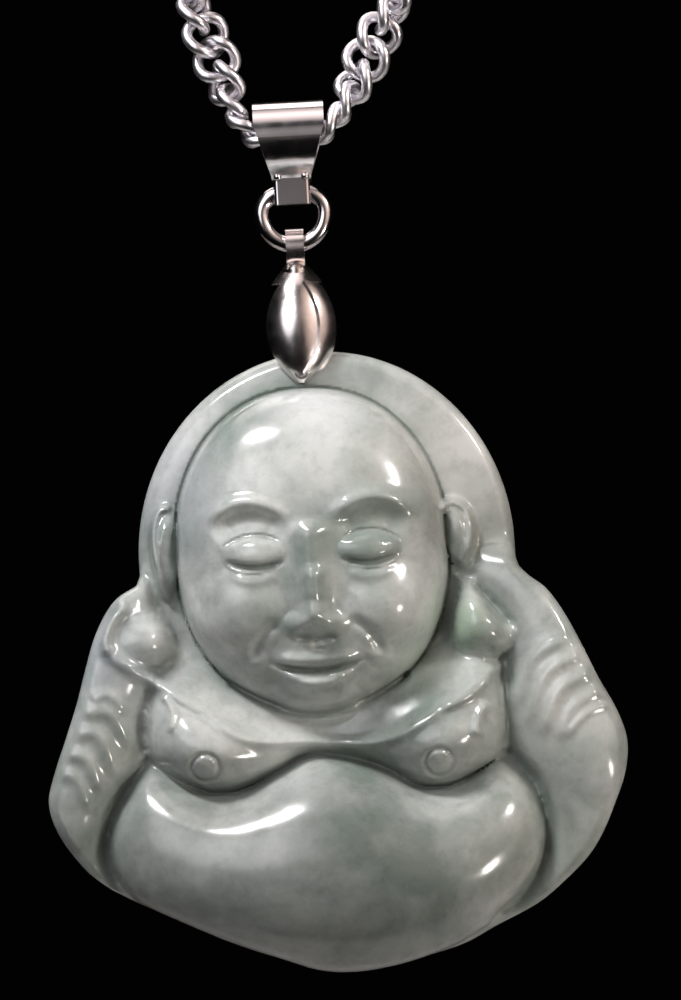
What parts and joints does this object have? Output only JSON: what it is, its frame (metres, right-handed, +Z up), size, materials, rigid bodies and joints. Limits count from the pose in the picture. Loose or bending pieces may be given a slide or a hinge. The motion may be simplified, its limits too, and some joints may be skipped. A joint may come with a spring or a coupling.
{
  "type": "jade buddha pendant on a chain",
  "caption": "Carved jade laughing-buddha pendant with a halo rim, hung by a leaf pinch bail and a chain bail from a fine twisted silver chain that closes at the nape.",
  "frame": {"origin": "the nape: the middle of the clasp, where a neck carries the chain", "axes": "+Z up, the figure's front faces -Y, +X to the viewer's right"},
  "size_m": [0.1143, 0.0092, 0.2282],
  "materials": {
    "chain_silver": "polished",
    "clasp_silver": "polished",
    "bail_silver": "polished",
    "leaf_silver": "polished",
    "jade": "polished"
  },
  "bodies": {
    "necklace": {"chain": "chain_silver", "clasp": "clasp_silver"},
    "bail": {"chain_bail": "bail_silver"},
    "pinch": {"pinch_bail": "leaf_silver"},
    "figure": {"jade_figure": "jade"}
  },
  "joints": [
    {"name": "bail_swing", "type": "hinge", "parent": "necklace", "child": "bail", "pos_m": [0, 0, -0.17615], "axis": [1, 0, 0], "range_deg": [-60, 60]},
    {"name": "pinch_swing", "type": "hinge", "parent": "bail", "child": "pinch", "pos_m": [0, 0, -0.18265], "axis": [1, 0, 0], "range_deg": [-60, 60]},
    {"name": "figure_rock", "type": "hinge", "parent": "pinch", "child": "figure", "pos_m": [0, 0, -0.19047], "axis": [0, 1, 0], "range_deg": [-10, 10]}
  ]
}
